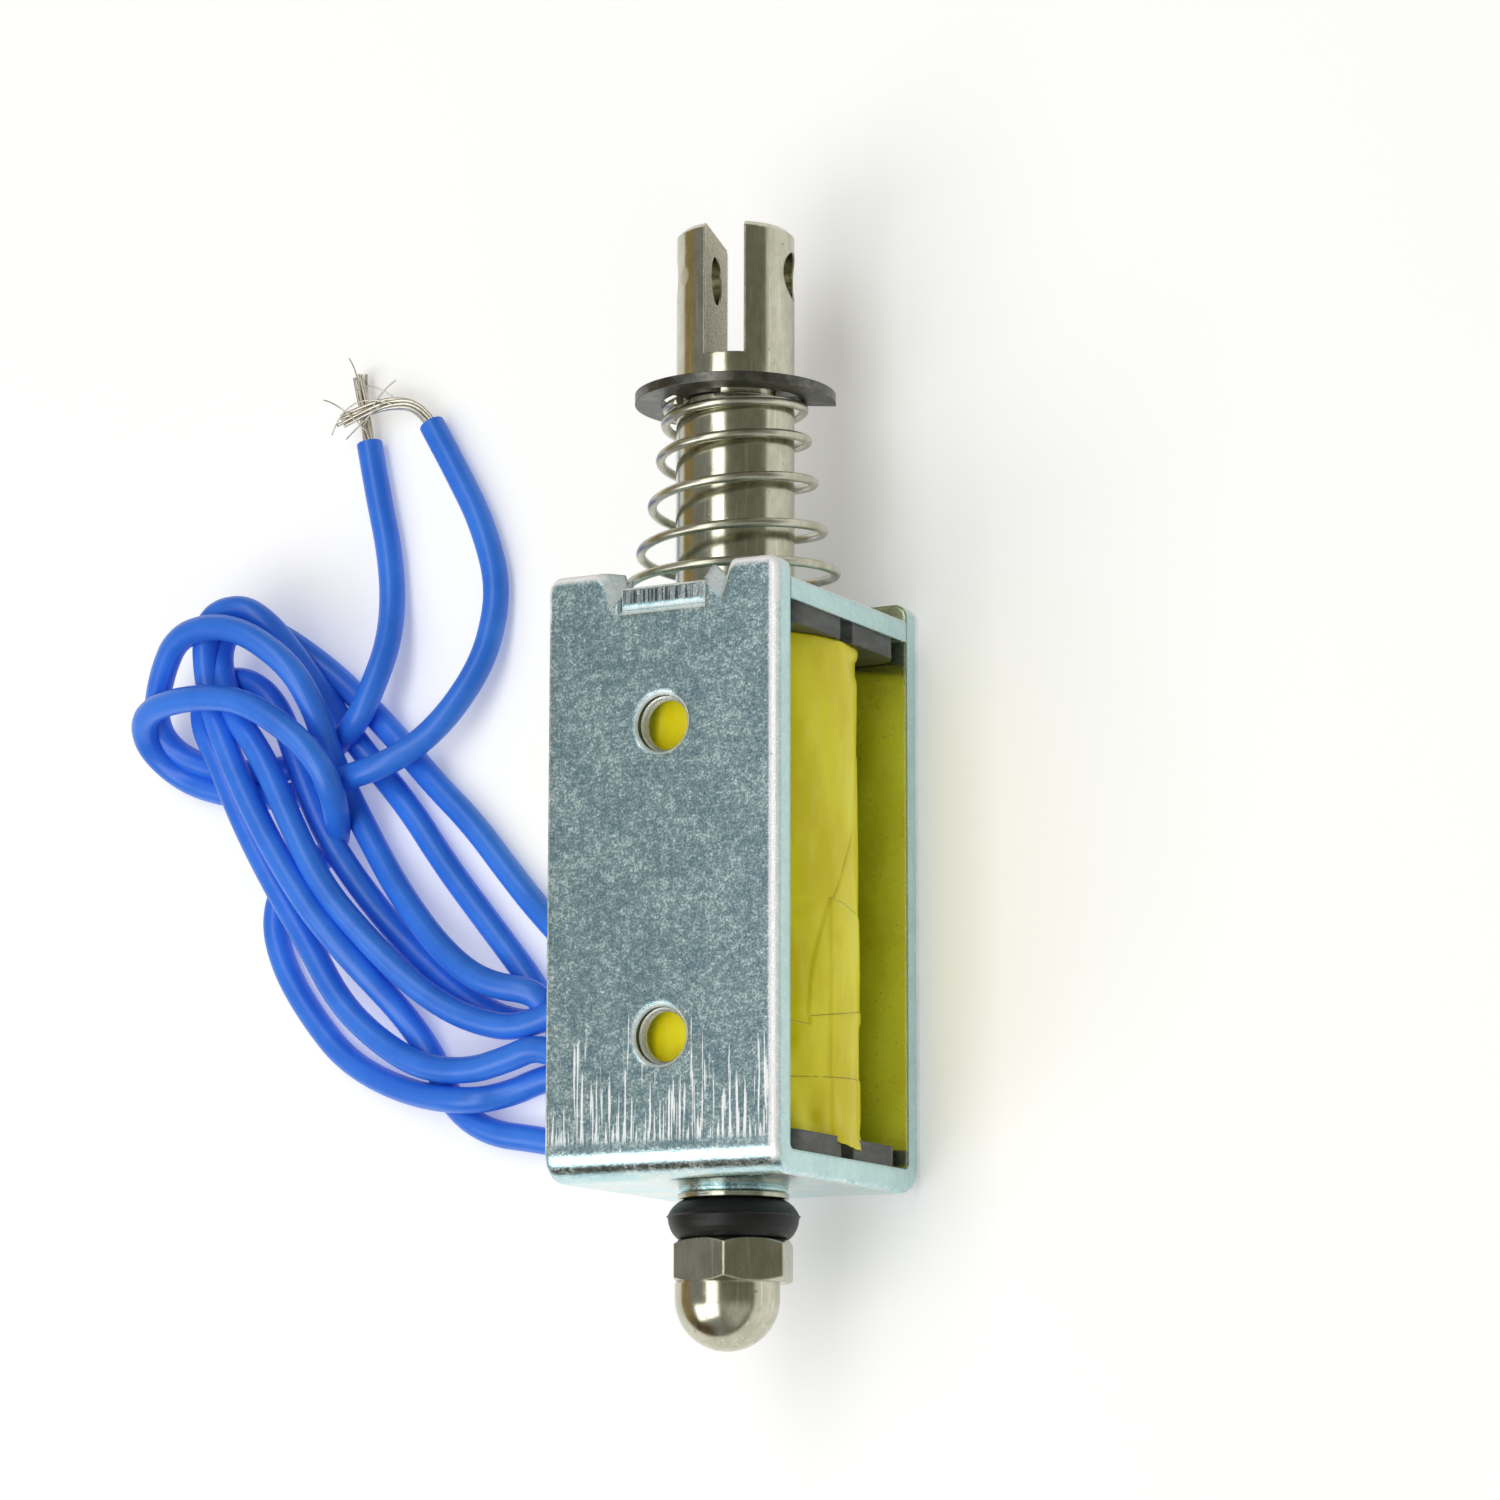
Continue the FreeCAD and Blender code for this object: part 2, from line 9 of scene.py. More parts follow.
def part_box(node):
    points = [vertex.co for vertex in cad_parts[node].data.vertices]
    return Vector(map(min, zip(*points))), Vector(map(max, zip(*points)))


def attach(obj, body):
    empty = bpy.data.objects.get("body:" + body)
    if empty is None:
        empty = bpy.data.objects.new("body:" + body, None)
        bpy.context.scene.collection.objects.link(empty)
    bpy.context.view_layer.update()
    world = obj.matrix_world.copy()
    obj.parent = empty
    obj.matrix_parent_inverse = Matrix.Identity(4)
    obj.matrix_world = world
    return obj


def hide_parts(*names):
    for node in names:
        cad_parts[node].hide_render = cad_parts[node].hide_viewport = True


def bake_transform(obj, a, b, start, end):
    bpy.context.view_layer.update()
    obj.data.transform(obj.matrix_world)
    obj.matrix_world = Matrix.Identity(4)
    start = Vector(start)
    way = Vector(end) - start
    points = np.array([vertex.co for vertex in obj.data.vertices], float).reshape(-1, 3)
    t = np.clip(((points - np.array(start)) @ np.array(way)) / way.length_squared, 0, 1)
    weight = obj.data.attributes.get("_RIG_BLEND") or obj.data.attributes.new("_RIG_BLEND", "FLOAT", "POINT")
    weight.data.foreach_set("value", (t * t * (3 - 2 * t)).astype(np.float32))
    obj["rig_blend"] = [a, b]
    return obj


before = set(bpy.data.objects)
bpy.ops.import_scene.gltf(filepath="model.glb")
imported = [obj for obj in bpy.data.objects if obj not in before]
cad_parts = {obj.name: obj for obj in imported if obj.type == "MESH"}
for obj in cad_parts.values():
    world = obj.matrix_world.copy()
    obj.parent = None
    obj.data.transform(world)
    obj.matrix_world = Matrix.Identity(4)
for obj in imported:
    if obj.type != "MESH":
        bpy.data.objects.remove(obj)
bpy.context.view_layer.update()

# The scene is in metres. Sizes here are in millimetres, and MM turns them into metres.
MM = 0.001
random.seed(7)

# Places of the solenoid, read from the frame, and its two threaded holes
frame_low, frame_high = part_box("c_frame")
plate_low, plate_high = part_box("top_plate")
tape_low, tape_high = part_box("coil_tape")
winding_low, winding_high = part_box("coil_winding")
ring_low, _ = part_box("retaining_ring")
label_low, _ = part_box("blank_label")
axis_z = (frame_low.z + frame_high.z) / 2 / MM
floor_z = label_low.z / MM
tape_radius = (tape_high.z - tape_low.z) / 2 / MM
hole_spacing = 15.3
hole_radius = 1.38
thread_front = -0.16
thread_back = -1.3
thread_depth = 0.15
thread_pitch = 0.38

# Return spring, as in the solid
spring_wire = 0.48
spring_dead_turns = 0.6
spring_turns = 5.0
spring_small_radius = 3.45
spring_large_radius = 5.9
spring_lift = 0.01
spring_phase = -28.4
spring_wave = 0.04
spring_stacked_share = 0.75
spring_stack_power = 1.6
stroke = 9.0

# Leads
lead_diameter = 1.42
strand_radius = 0.1
stray_diameter = 0.08
lead_exit_slope = 40.0
lead_exit_run = 2.9
lead_rest = floor_z + lead_diameter / 2 + 0.04


def mm(x, y, z):
    return Vector((x, y, z)) * MM


# Camera, at the photograph's place. Places are in millimetres.

camera_place = (113.6275, -34.9975, 200.9625)
camera_target = (4.93, 5.89, 0.0)
camera_up = (0.08226, 0.98436, 0.15577)
camera_lens = 115.574


def look_at(thing, target, upward):
    """Turns a camera or a light at a place towards another place."""
    back = (thing.location - target).normalized()
    right = upward.cross(back).normalized()
    up = back.cross(right)
    turn = Matrix((right, up, back)).transposed()
    thing.rotation_mode = "QUATERNION"
    thing.rotation_quaternion = turn.to_quaternion()


def make_camera():
    data = bpy.data.cameras.new("photo_camera")
    data.lens = camera_lens
    data.sensor_width = 36.0
    data.clip_start = 0.01
    data.clip_end = 10.0
    camera = bpy.data.objects.new("photo_camera", data)
    bpy.context.scene.collection.objects.link(camera)
    camera.location = mm(*camera_place)
    look_at(camera, mm(*camera_target), Vector(camera_up))
    bpy.context.scene.camera = camera


make_camera()


# Shader maths

class Wire:
    """A shader socket that takes part in sums, so that a pattern reads as a formula."""

    def __init__(self, tree, socket):
        self.tree = tree
        self.socket = socket

    def maths(self, operation, *values):
        numbered = dict(enumerate(values or [self]))
        return add_node(self.tree, "ShaderNodeMath", numbered, operation=operation)

    def __add__(self, other):
        return self.maths("ADD", self, other)

    def __radd__(self, other):
        return self.maths("ADD", other, self)

    def __sub__(self, other):
        return self.maths("SUBTRACT", self, other)

    def __rsub__(self, other):
        return self.maths("SUBTRACT", other, self)

    def __mul__(self, other):
        return self.maths("MULTIPLY", self, other)

    def __truediv__(self, other):
        return self.maths("DIVIDE", self, other)

    def __pow__(self, other):
        return self.maths("POWER", self, other)

    def __abs__(self):
        return self.maths("ABSOLUTE")

    def larger(self, other):
        return self.maths("MAXIMUM", self, other)

    def ramp(self, low, high):
        """0 at low, 1 at high, smooth between. Low may be the larger of the two."""
        inputs = {"Value": self, "From Min": low, "From Max": high}
        return add_node(self.tree, "ShaderNodeMapRange", inputs, interpolation_type="SMOOTHSTEP")


def add_node(tree, kind, inputs, output=0, **settings):
    """Adds one node with wires or plain values on its inputs, and gives one of its outputs."""
    node = tree.nodes.new(kind)
    for name, value in settings.items():
        setattr(node, name, value)
    for name, value in inputs.items():
        if isinstance(value, Wire):
            tree.links.new(value.socket, node.inputs[name])
        else:
            node.inputs[name].default_value = value
    return Wire(tree, node.outputs[output])


def opaque(colour):
    return colour if isinstance(colour, Wire) else (*colour, 1.0)


def mix_colours(tree, share, first, second):
    inputs = {0: share, 6: opaque(first), 7: opaque(second)}
    return add_node(tree, "ShaderNodeMix", inputs, 2, data_type="RGBA")


class Finish:
    """One procedural material. Places inside it are in millimetres, in the part's frame."""

    def __init__(self, name, edge=0.0, **values):
        """An edge above 0 rounds the edges' look to this radius in millimetres."""
        self.edge = edge
        self.material = bpy.data.materials.new(name)
        self.material.use_nodes = True
        self.tree = self.material.node_tree
        self.shader = self.tree.nodes["Principled BSDF"]
        for socket, value in values.items():
            self.shader.inputs[socket.replace("_", " ")].default_value = value
        place = self.node("ShaderNodeTexCoord", {}, "Object")
        inputs = {0: place, "Scale": 1 / MM}
        self.place = self.node("ShaderNodeVectorMath", inputs, operation="SCALE")
        self.x, self.y, self.z = (
            self.node("ShaderNodeSeparateXYZ", {0: self.place}, i) for i in range(3))

    def node(self, kind, inputs, output=0, **settings):
        return add_node(self.tree, kind, inputs, output, **settings)

    def normal_axis(self, number):
        normal = self.node("ShaderNodeTexCoord", {}, "Normal")
        return self.node("ShaderNodeSeparateXYZ", {0: normal}, number)

    def noise(self, size, stretch=(1, 1, 1), detail=3.0, roughness=0.55, shift=0.0):
        """Cloudy noise from 0 to 1 with features of about this size in millimetres."""
        scale = tuple(1 / (size * s) for s in stretch)
        inputs = {0: self.place, 1: scale, 2: (shift, shift, shift)}
        place = self.node("ShaderNodeVectorMath", inputs, operation="MULTIPLY_ADD")
        inputs = {"Vector": place, "Scale": 1.0, "Detail": detail, "Roughness": roughness}
        return self.node("ShaderNodeTexNoise", inputs)

    def mix(self, share, first, second):
        return mix_colours(self.tree, share, first, second)

    def near(self, place, reach):
        """1 close to one place in millimetres, fading to 0 at this distance."""
        inputs = {0: self.place, 1: place}
        distance = self.node("ShaderNodeVectorMath", inputs, "Value", operation="DISTANCE")
        return distance.ramp(reach, reach * 0.6)

    def thin_line(self, offset, half_width):
        """1 where the offset is nearly nothing."""
        return abs(offset).ramp(half_width, half_width * 0.4)

    def feed(self, **wires):
        for socket, wire in wires.items():
            self.tree.links.new(wire.socket, self.shader.inputs[socket.replace("_", " ")])

    def bump(self, height, depth):
        """Relief of this depth in millimetres where the height goes from 0 to 1."""
        inputs = {"Height": height, "Distance": depth * MM, "Strength": 1.0}
        if self.edge:
            inputs["Normal"] = self.node("ShaderNodeBevel", {"Radius": self.edge * MM}, samples=4)
        self.feed(Normal=self.node("ShaderNodeBump", inputs))


# The tape on the winding. Places on it are the way round from +X towards +Z and the height
# along the frame, in millimetres.

def lap_edge(height):
    """The way round at which the slanted lap of the upper layer ends."""
    return -1.12 + (3.0 - height) * 0.60


def crease_level(around):
    return around * 0.15 - 0.73


def seam_level(around):
    return around * -0.137 - 6.13


def hidden_seam_level(around):
    return around * 0.125 - 7.23


def low_seam_level(around):
    return around * -0.05 - 9.32


# Each line of painted shade with the ways round where it starts and ends, and how dark it is
tape_shade_lines = [(crease_level, -4.5, 1.3, 0.9), (seam_level, -4.5, 2.65, 0.8),
              (hidden_seam_level, 2.65, 6.0, 0.6), (low_seam_level, -4.5, 6.0, 0.85)]


# Finishes

white = (1.0, 1.0, 1.0)

# Places on the frame that its finish depends on, in millimetres
flange_inside = -13.5
dents_low = 13.1
bend_line = -6.0
corner_x = 5.94
top_edge = 15.1
tab_reach = 2.2
tab_half_height = 0.32


def hole_distance(f):
    """How far a place is from the middle line of the nearer mounting hole."""
    hole_y = abs(f.y) - hole_spacing / 2
    return (f.x * f.x + hole_y * hole_y) ** 0.5


def zinc(name, scratched_with_edge_highlight=False, sheared=False, threaded=False):
    """Blue passivated zinc plate: a fine grain with short bright flecks, duller on cut edges."""
    f = Finish(name, edge=0.30)
    across, along, out = (f.normal_axis(i) for i in range(3))
    grain = f.noise(0.13, detail=2.0, roughness=0.6)
    patch = f.noise(0.42, detail=3.0, roughness=0.7, shift=3.0)
    cloud = f.noise(2.4, detail=3.0, roughness=0.6)
    fleck = f.noise(0.17, detail=1.0, shift=2.0).ramp(0.62, 0.70) * patch.ramp(0.45, 0.60)
    tone = grain.ramp(0.38, 0.62) * 0.40 + patch.ramp(0.38, 0.62) * 0.38
    tone = tone + cloud.ramp(0.38, 0.62) * 0.22

    # The flat faces, with a painted reflection of the yellow tape inside the back flange, and with a
    # greenish film underneath
    tape_reflection_inside = out.ramp(0.8, 0.95) * f.z.ramp(flange_inside + 0.1, flange_inside - 0.1)
    tone = tone + (0.55 - tone) * (tape_reflection_inside * 0.9)
    face = f.mix(tone, (0.28, 0.49, 0.58), (0.82, 1.0, 1.0))
    face = f.mix(fleck * (1.0 - tape_reflection_inside) * 0.45, face, white)
    # Painted olive reflection of the tape on the back flange's inner face
    face = f.mix(tape_reflection_inside, face, (0.62, 0.70, 0.50))
    under = along.ramp(-0.7, -0.95)
    film = f.mix(cloud.ramp(0.4, 0.6), (0.56, 0.84, 0.82), (0.84, 0.84, 0.74))
    face = f.mix(under * 0.5, face, film)

    # The cut edges, the rims of the holes and the dents, and the holes' walls, which are painted dark as
    # shade
    cut = abs(across).ramp(0.75, 0.95)
    colour = f.mix(cut, face, f.mix(tone, (0.44, 0.63, 0.63), (0.59, 0.77, 0.78)))
    squareness = abs(across).larger(abs(along)).larger(abs(out))
    reach = hole_distance(f)
    handled = reach.ramp(1.75, 1.65).larger(f.y.ramp(dents_low, dents_low + 0.15))
    burr = squareness.ramp(0.99, 0.93) * handled
    colour = f.mix(burr * 0.8, colour, f.mix(tone, (0.70, 0.80, 0.82), white))
    # Painted shade on the walls of the threaded holes, between the threads
    shaded_bore = reach.ramp(hole_radius + 0.03, hole_radius + 0.01)
    shaded_bore = shaded_bore * f.z.ramp(-0.1, -0.2) * f.z.ramp(-1.4, -1.3)
    colour = f.mix(shaded_bore, colour, (0.10, 0.12, 0.05))
    rough = 0.13 + grain * 0.13 + cut * 0.20 + burr * 0.22 + fleck * 0.15
    bright = tone.ramp(0.45, 0.95) * (1.0 - tape_reflection_inside) * (1.0 - cut) * (1.0 - shaded_bore)
    metal = 1.0 - burr * (1.0 - shaded_bore) * 0.6 - bright * 0.30

    if scratched_with_edge_highlight:
        # The front flange's rolled edges with a painted white highlight, and the scratches that rise from
        # the bend
        rolled_edge_highlight = f.x.ramp(corner_x - 0.08, corner_x + 0.08)
        rolled_edge_highlight = rolled_edge_highlight.larger(f.y.ramp(top_edge - 0.15, top_edge + 0.15))
        rolled_edge_highlight = rolled_edge_highlight * f.z.ramp(-0.45, -0.2) * (1.0 - cut) * patch.ramp(0.22, 0.36)
        colour = f.mix(rolled_edge_highlight * 0.9, colour, white)
        metal = metal - rolled_edge_highlight * 0.75
        streak = f.noise(0.20, (1, 30, 4), detail=2.0, roughness=0.6)
        depth = (f.y - bend_line) / -6.5
        wear = (streak + depth * 0.19).ramp(0.68, 0.74)
        wear = wear * f.y.ramp(-13.0, -12.4) * f.z.ramp(-0.4, -0.05)
        colour = f.mix(wear * 0.9, colour, white)
        rough = rough + wear * 0.25
        metal = metal - wear * 0.3
    if threaded:
        # The thread ridges are painted pale as a highlight
        colour = f.mix(tone, (0.75, 0.82, 0.78), white)
    if sheared:
        # The staked tab's end, torn in streaks
        streak = f.noise(0.13, (1, 40, 40), detail=2.0, roughness=0.7, shift=3.0)
        middle_y = (plate_low.y + plate_high.y) / 2 / MM + 0.05
        band = abs(f.y - middle_y).ramp(tab_half_height + 0.04, tab_half_height - 0.04)
        band = band * abs(f.x).ramp(tab_reach + 0.1, tab_reach - 0.1) * out.ramp(0.8, 0.95)
        colour = f.mix(band * 0.8, colour, (0.85, 0.95, 0.96))
        colour = f.mix(streak.ramp(0.53, 0.45) * band * 0.9, colour, (0.10, 0.13, 0.15))
    f.feed(Base_Color=colour, Roughness=rough, Metallic=metal)
    f.bump((grain * 0.6 + patch * 0.4) * (1.0 - tape_reflection_inside * 0.9), 0.011)
    return f.material


# Where the plunger's slot starts, and a pale spot, lighter and rougher, on one of its ears
slot_bottom = 24.0
clevis_mark = (-1.6, 31.6, -5.0)


def nickel(name):
    """Warm nickel plate over turned steel, with drawn scratches, dull spots and a browner slot."""
    f = Finish(name, edge=0.15, Metallic=1.0)
    rings = f.noise(0.06, (60, 1, 60), detail=2.0)
    drawn = f.noise(0.16, (1, 24, 1), detail=2.0, shift=5.0)
    dull = f.noise(0.9, (1, 1.8, 1), detail=4.0, roughness=0.7)
    fine = f.noise(0.12, detail=2.0)
    spots = f.noise(0.3, detail=3.0, shift=9.0).ramp(0.64, 0.74)
    colour = f.mix(dull.ramp(0.35, 0.7), (0.46, 0.455, 0.34), (0.58, 0.57, 0.46))
    colour = f.mix(drawn.ramp(0.58, 0.70) * 0.5, colour, (0.78, 0.76, 0.67))
    colour = f.mix(spots * 0.5, colour, (0.22, 0.18, 0.11))
    reach = (f.x * f.x + (f.z - axis_z) * (f.z - axis_z)) ** 0.5
    slot = reach.ramp(2.9, 2.8) * abs(f.normal_axis(0)).ramp(0.9, 0.97)
    slot = slot * f.y.ramp(slot_bottom, slot_bottom + 0.5)
    browner = f.mix(fine.ramp(0.35, 0.65), (0.16, 0.13, 0.07), (0.50, 0.46, 0.30))
    colour = f.mix(slot, colour, browner)
    mark = f.near(clevis_mark, 0.55)
    colour = f.mix(mark * 0.6, colour, (0.75, 0.72, 0.62))
    rough = 0.11 + dull * 0.13 + spots * 0.2 + mark * 0.3 + slot * 0.2
    f.feed(Base_Color=colour, Roughness=rough)
    f.bump(rings * 0.4 + drawn * 0.4 + fine * 0.2, 0.003)
    return f.material


def spring_steel(name):
    f = Finish(name, Metallic=1.0)
    dull = f.noise(1.2, detail=3.0)
    colour = f.mix(dull.ramp(0.35, 0.65), (0.42, 0.41, 0.32), (0.60, 0.59, 0.48))
    f.feed(Base_Color=colour, Roughness=0.24 + dull * 0.12)
    f.bump(f.noise(0.12), 0.0006)
    return f.material


def black_oxide(name):
    """Blackened spring steel, worn grey in places."""
    f = Finish(name, edge=0.08, Metallic=1.0)
    grain = f.noise(0.12, detail=3.0)
    worn = f.noise(0.8, detail=4.0, roughness=0.7).ramp(0.4, 0.7)
    colour = f.mix(worn, (0.10, 0.10, 0.09), (0.19, 0.19, 0.165))
    f.feed(Base_Color=colour, Roughness=0.30 + grain * 0.15)
    f.bump(grain, 0.005)
    return f.material


def rubber(name):
    f = Finish(name, Specular_IOR_Level=0.32)
    grain = f.noise(0.1, detail=3.0)
    dust = f.noise(0.5, (1, 0.5, 1), detail=4.0, roughness=0.75).ramp(0.58, 0.78)
    colour = f.mix(dust * 0.4, (0.008, 0.009, 0.008), (0.06, 0.065, 0.055))
    f.feed(Base_Color=colour, Roughness=0.33 + grain * 0.2)
    f.bump(grain, 0.008)
    return f.material


def black_nylon(name):
    f = Finish(name, edge=0.12, Specular_IOR_Level=0.5)
    grain = f.noise(0.09, detail=2.0)
    flow = f.noise(1.6, (1, 0.4, 1), detail=3.0)
    colour = f.mix(flow.ramp(0.4, 0.7), (0.045, 0.050, 0.048), (0.085, 0.095, 0.09))
    f.feed(Base_Color=colour, Roughness=0.34 + grain * 0.16)
    f.bump(grain * 0.5 + flow * 0.5, 0.008)
    return f.material


def copper(name):
    """Enamelled wire wound turn by turn."""
    f = Finish(name, Metallic=1.0)
    wire_pitch = 0.16
    groove = (f.y * (2 * math.pi / wire_pitch)).maths("SINE")
    tone = f.noise(0.7, detail=2.0)
    colour = f.mix(tone, (0.45, 0.16, 0.05), (0.72, 0.30, 0.12))
    f.feed(Base_Color=colour, Roughness=0.25 + tone * 0.1)
    f.bump(groove * 0.5 + 0.5, 0.03)
    return f.material


def brass(name):
    f = Finish(name, Metallic=1.0)
    tone = f.noise(0.8, (1, 3, 1), detail=3.0)
    colour = f.mix(tone, (0.55, 0.38, 0.13), (0.80, 0.62, 0.28))
    f.feed(Base_Color=colour, Roughness=0.22 + tone * 0.15)
    f.bump(f.noise(0.1, (1, 20, 1)), 0.004)
    return f.material


def yellow_tape(name, wound=False):
    """Glossy polyester tape. Wound, thin dark lines of painted shade mark its laps' edges, a crease and its
    seams.
    """
    f = Finish(name, Specular_IOR_Level=0.22, Coat_Roughness=0.12, Coat_Weight=0.12)
    cloud = f.noise(2.6, (1, 2.2, 1), detail=3.0)
    fibre = f.noise(0.5, (1, 7, 1), detail=2.0, shift=4.0)
    grain = f.noise(0.08, detail=2.0)
    colour = f.mix(cloud.ramp(0.3, 0.7), (0.82, 0.69, 0.003), (0.97, 0.90, 0.03))
    colour = f.mix(fibre.ramp(0.55, 0.75) * 0.25, colour, (0.96, 0.90, 0.22))
    if wound:
        around = (f.z - axis_z).maths("ARCTAN2", f.z - axis_z, f.x) * tape_radius
        broken = f.noise(0.9, detail=2.0, shift=7.0).ramp(0.30, 0.45)
        line = f.thin_line(around - lap_edge(f.y), 0.035)
        line = line * f.y.ramp(3.1, 2.7) * f.y.ramp(-0.65, -0.55) * 0.6
        for level, low_end, high_end, strength in tape_shade_lines:
            share = f.thin_line(f.y - level(around), 0.03) * around.ramp(low_end, low_end + 0.1)
            line = line.larger(share * around.ramp(high_end, high_end - 0.1) * strength)
        # Painted shade along the laps' edges, the crease and the seams
        colour = f.mix(line * broken, colour, (0.20, 0.13, 0.01))
    f.feed(Base_Color=colour, Roughness=0.24 + grain * 0.10 + cloud * 0.06)
    f.bump(cloud * 0.6 + fibre * 0.4, 0.015)
    return f.material


def blue_insulation(name):
    """Satin PVC, faintly cloudy, with a little dust."""
    f = Finish(name, Specular_IOR_Level=0.5)
    cloud = f.noise(3.0, detail=3.0)
    grain = f.noise(0.12, detail=3.0)
    dust = f.noise(0.35, detail=4.0, roughness=0.75).ramp(0.64, 0.8)
    colour = f.mix(cloud.ramp(0.3, 0.7), (0.024, 0.175, 0.80), (0.040, 0.225, 0.92))
    colour = f.mix(dust * 0.2, colour, (0.20, 0.42, 0.92))
    f.feed(Base_Color=colour, Roughness=0.28 + grain * 0.12)
    f.bump(grain * 0.7 + cloud * 0.3, 0.006)
    return f.material


def tinned(name):
    f = Finish(name, Metallic=1.0)
    tone = f.noise(0.3, detail=3.0)
    colour = f.mix(tone, (0.45, 0.42, 0.34), (0.82, 0.79, 0.70))
    f.feed(Base_Color=colour, Roughness=0.25 + tone * 0.2)
    f.bump(f.noise(0.08), 0.004)
    return f.material


def paper(name):
    f = Finish(name, Specular_IOR_Level=0.4)
    fibre = f.noise(0.25, detail=4.0, roughness=0.7)
    colour = f.mix(fibre.ramp(0.35, 0.7), (0.78, 0.78, 0.75), (0.90, 0.90, 0.88))
    f.feed(Base_Color=colour, Roughness=0.5 + fibre * 0.15)
    f.bump(fibre, 0.006)
    return f.material


def pale_floor(name):
    f = Finish(name, Roughness=0.75, Specular_IOR_Level=0.1, Emission_Strength=0.26)
    f.shader.inputs["Emission Color"].default_value = (1.0, 1.0, 1.0, 1.0)
    cloud = f.noise(40.0, detail=2.0)
    f.feed(Base_Color=f.mix(cloud, (0.88, 0.88, 0.885), (0.905, 0.905, 0.91)))
    return f.material


finishes = {
    "zinc_steel": zinc("zinc_steel"),
    "zinc_scratched_with_edge_highlight": zinc("zinc_scratched_with_edge_highlight", scratched_with_edge_highlight=True),
    "zinc_sheared": zinc("zinc_sheared", sheared=True),
    "zinc_thread_highlight": zinc("zinc_thread_highlight", threaded=True),
    "nickel_steel": nickel("nickel_steel"),
    "spring_wire": spring_steel("spring_wire"),
    "black_spring_steel": black_oxide("black_spring_steel"),
    "black_rubber": rubber("black_rubber"),
    "black_nylon": black_nylon("black_nylon"),
    "copper_wire": copper("copper_wire"),
    "brass_tube": brass("brass_tube"),
    "yellow_tape": yellow_tape("yellow_tape"),
    "yellow_tape_wound": yellow_tape("yellow_tape_wound", wound=True),
    "blue_insulation": blue_insulation("blue_insulation"),
    "tinned_copper": tinned("tinned_copper"),
    "white_label": paper("white_label"),
}


def dress(thing, finish):
    """Gives an object one finish."""
    thing.data.materials.clear()
    thing.data.materials.append(finishes[finish])


def add_piece(name, data, finish, body):
    piece = bpy.data.objects.new(name, data)
    bpy.context.scene.collection.objects.link(piece)
    dress(piece, finish)
    if body:
        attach(piece, body)
    return piece


# Leads. Points are in millimetres, from the pad to the bare end.

lead_out = {"lead_1": (-7.0, -3.6, -8.6), "lead_2": (-7.0, -5.4, -8.6)}

# Out of the pad, up along the frame and over, back down inside the bundle, a fold beside the
# frame, up again, down to a tight turn by the frame, up, once round the bundle and off.
lead_1_route = [
    (-12.0, -1.6, -13.2), (-15.4, 1.3, -14.3), (-17.3, 3.5, -14.3), (-19.5, 6.2, -14.3),
    (-22.2, 8.8, -14.3), (-25.0, 11.9, -14.3), (-28.1, 14.8, -14.2), (-30.4, 16.7, -13.6),
    (-32.3, 17.9, -12.9), (-33.9, 18.2, -12.5), (-34.6, 16.4, -11.9), (-33.0, 12.9, -11.2),
    (-30.9, 10.3, -11.1), (-29.1, 6.6, -11.2), (-27.3, 3.1, -11.5), (-24.9, 0.2, -12.2),
    (-22.0, -2.6, -12.7), (-18.8, -4.5, -12.9), (-15.3, -5.2, -13.0), (-11.0, -3.1, -13.0),
    (-7.3, -2.9, -13.0), (-7.3, -7.8, -12.9), (-11.2, -7.8, -12.7), (-14.3, -6.0, -12.8),
    (-16.4, -6.7, -12.8), (-18.8, -7.2, -12.9), (-21.8, -6.8, -13.0), (-24.6, -5.2, -13.1),
    (-27.0, -3.0, -13.0), (-28.9, 0.2, -12.9), (-31.0, 3.4, -12.8), (-33.0, 6.8, -12.7),
    (-34.7, 10.4, -12.6), (-36.2, 13.1, -12.7), (-35.5, 14.9, -12.7), (-33.1, 15.1, -12.7),
    (-31.1, 13.4, -12.8), (-29.7, 9.9, -12.9), (-28.3, 6.6, -12.9), (-26.4, 3.6, -13.4),
    (-24.2, 0.7, -14.2), (-21.2, -2.1, -14.3), (-18.4, -4.0, -14.3), (-16.2, -4.7, -14.3),
    (-14.6, -4.5, -13.8), (-14.6, -3.2, -13.0), (-17.7, -2.7, -12.7), (-20.6, -0.7, -13.0),
    (-23.6, 2.7, -13.5), (-25.8, 5.9, -13.9), (-27.2, 8.4, -13.8), (-27.4, 10.4, -12.2),
    (-27.4, 12.7, -10.7), (-28.6, 15.1, -9.8), (-32.0, 17.4, -9.5), (-35.8, 17.4, -10.1),
    (-37.9, 15.5, -11.4), (-39.5, 12.9, -13.1), (-38.0, 11.0, -14.1), (-34.1, 10.0, -14.3),
    (-30.9, 10.2, -14.3), (-28.3, 10.9, -13.9), (-26.0, 11.9, -12.7), (-25.0, 13.9, -12.8),
    (-24.6, 16.3, -13.6), (-24.8, 18.9, lead_rest), (-25.1, 21.7, lead_rest),
    (-25.9, 24.9, lead_rest), (-26.5, 27.8, lead_rest),
]
